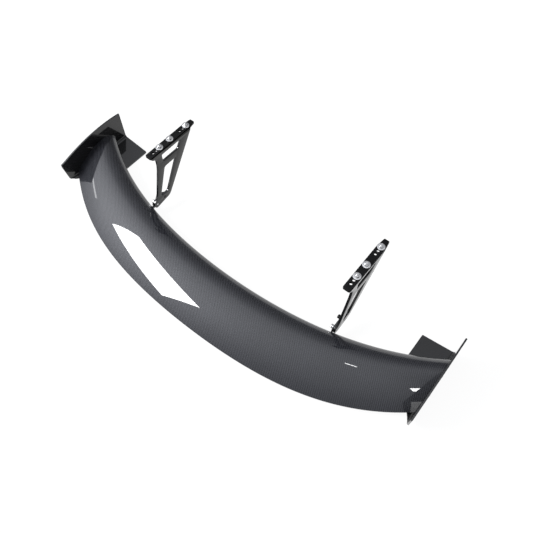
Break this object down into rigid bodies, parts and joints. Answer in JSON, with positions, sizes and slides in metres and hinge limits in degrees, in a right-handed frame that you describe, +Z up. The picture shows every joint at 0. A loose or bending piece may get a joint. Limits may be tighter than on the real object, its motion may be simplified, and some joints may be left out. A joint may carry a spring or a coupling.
{
  "type": "racing rear wing",
  "caption": "Bowed hollow carbon rear wing with flat end plates and two forward-mounted perforated aluminium uprights, lying upside down with its mounting flanges up.",
  "frame": {"origin": "on the ground that the wing lies on, under the middle of its overall box (mid-span, halfway between the trailing edge and the front tips of the mounting flanges)", "axes": "+Z up as the wing lies upside down (towards the car when it is turned over and fitted), +X towards the front of the car, +Y along the span; the +Y side is called left in the node names"},
  "size_m": [0.4854, 1.402, 0.2633],
  "materials": {
    "gloss_carbon": "clear-coated twill-weave carbon fibre, high gloss",
    "satin_carbon": "black carbon laminate, satin to gloss",
    "raw_carbon": "uncoated carbon laminate, matt",
    "black_aluminium": "black powder-coated aluminium, fine texture",
    "zinc_steel": "bright zinc-plated steel",
    "black_steel": "black oxide steel, lightly oiled"
  },
  "bodies": {
    "blade_assembly": {"blade_suction_skin": "gloss_carbon", "blade_pressure_skin": "gloss_carbon", "spar": "raw_carbon", "rib_centre": "raw_carbon", "rib_mount_left": "raw_carbon", "rib_mount_right": "raw_carbon", "endplate_left": "satin_carbon", "rib_tip_left": "raw_carbon", "endplate_screw_left_1": "zinc_steel", "endplate_screw_left_2": "zinc_steel", "endplate_screw_left_3": "zinc_steel", "endplate_right": "satin_carbon", "rib_tip_right": "raw_carbon", "endplate_screw_right_1": "zinc_steel", "endplate_screw_right_2": "zinc_steel", "endplate_screw_right_3": "zinc_steel", "blade_bracket_left": "black_aluminium", "bracket_screw_left_1": "zinc_steel", "bracket_screw_left_2": "zinc_steel", "blade_bracket_right": "black_aluminium", "bracket_screw_right_1": "zinc_steel", "bracket_screw_right_2": "zinc_steel"},
    "upright_left": {"upright_left": "black_aluminium", "flange_stud_left_1": "zinc_steel", "flange_washer_left_1": "zinc_steel", "flange_nut_left_1": "zinc_steel", "flange_stud_left_2": "zinc_steel", "flange_washer_left_2": "zinc_steel", "flange_nut_left_2": "zinc_steel", "flange_stud_left_3": "zinc_steel", "flange_washer_left_3": "zinc_steel", "flange_nut_left_3": "zinc_steel", "pivot_washer_left": "zinc_steel", "pivot_bolt_left": "zinc_steel", "angle_washer_left": "black_steel", "angle_bolt_left": "black_steel"},
    "upright_right": {"upright_right": "black_aluminium", "flange_stud_right_1": "zinc_steel", "flange_washer_right_1": "zinc_steel", "flange_nut_right_1": "zinc_steel", "flange_stud_right_2": "zinc_steel", "flange_washer_right_2": "zinc_steel", "flange_nut_right_2": "zinc_steel", "flange_stud_right_3": "zinc_steel", "flange_washer_right_3": "zinc_steel", "flange_nut_right_3": "zinc_steel", "pivot_washer_right": "zinc_steel", "pivot_bolt_right": "zinc_steel", "angle_washer_right": "black_steel", "angle_bolt_right": "black_steel"}
  },
  "joints": [
    {"name": "right_upright_tilt", "type": "hinge", "parent": "blade_assembly", "child": "upright_right", "pos_m": [0.02, -0.381, 0.042], "axis": [0, 1, 0], "range_deg": [-6, 6]},
    {"name": "left_upright_tilt", "type": "hinge", "parent": "blade_assembly", "child": "upright_left", "pos_m": [0.02, 0.364, 0.042], "axis": [0, 1, 0], "range_deg": [-6, 6]}
  ],
  "couplings": [
    {"joint": "left_upright_tilt", "follows": "right_upright_tilt", "ratio": 1}
  ]
}
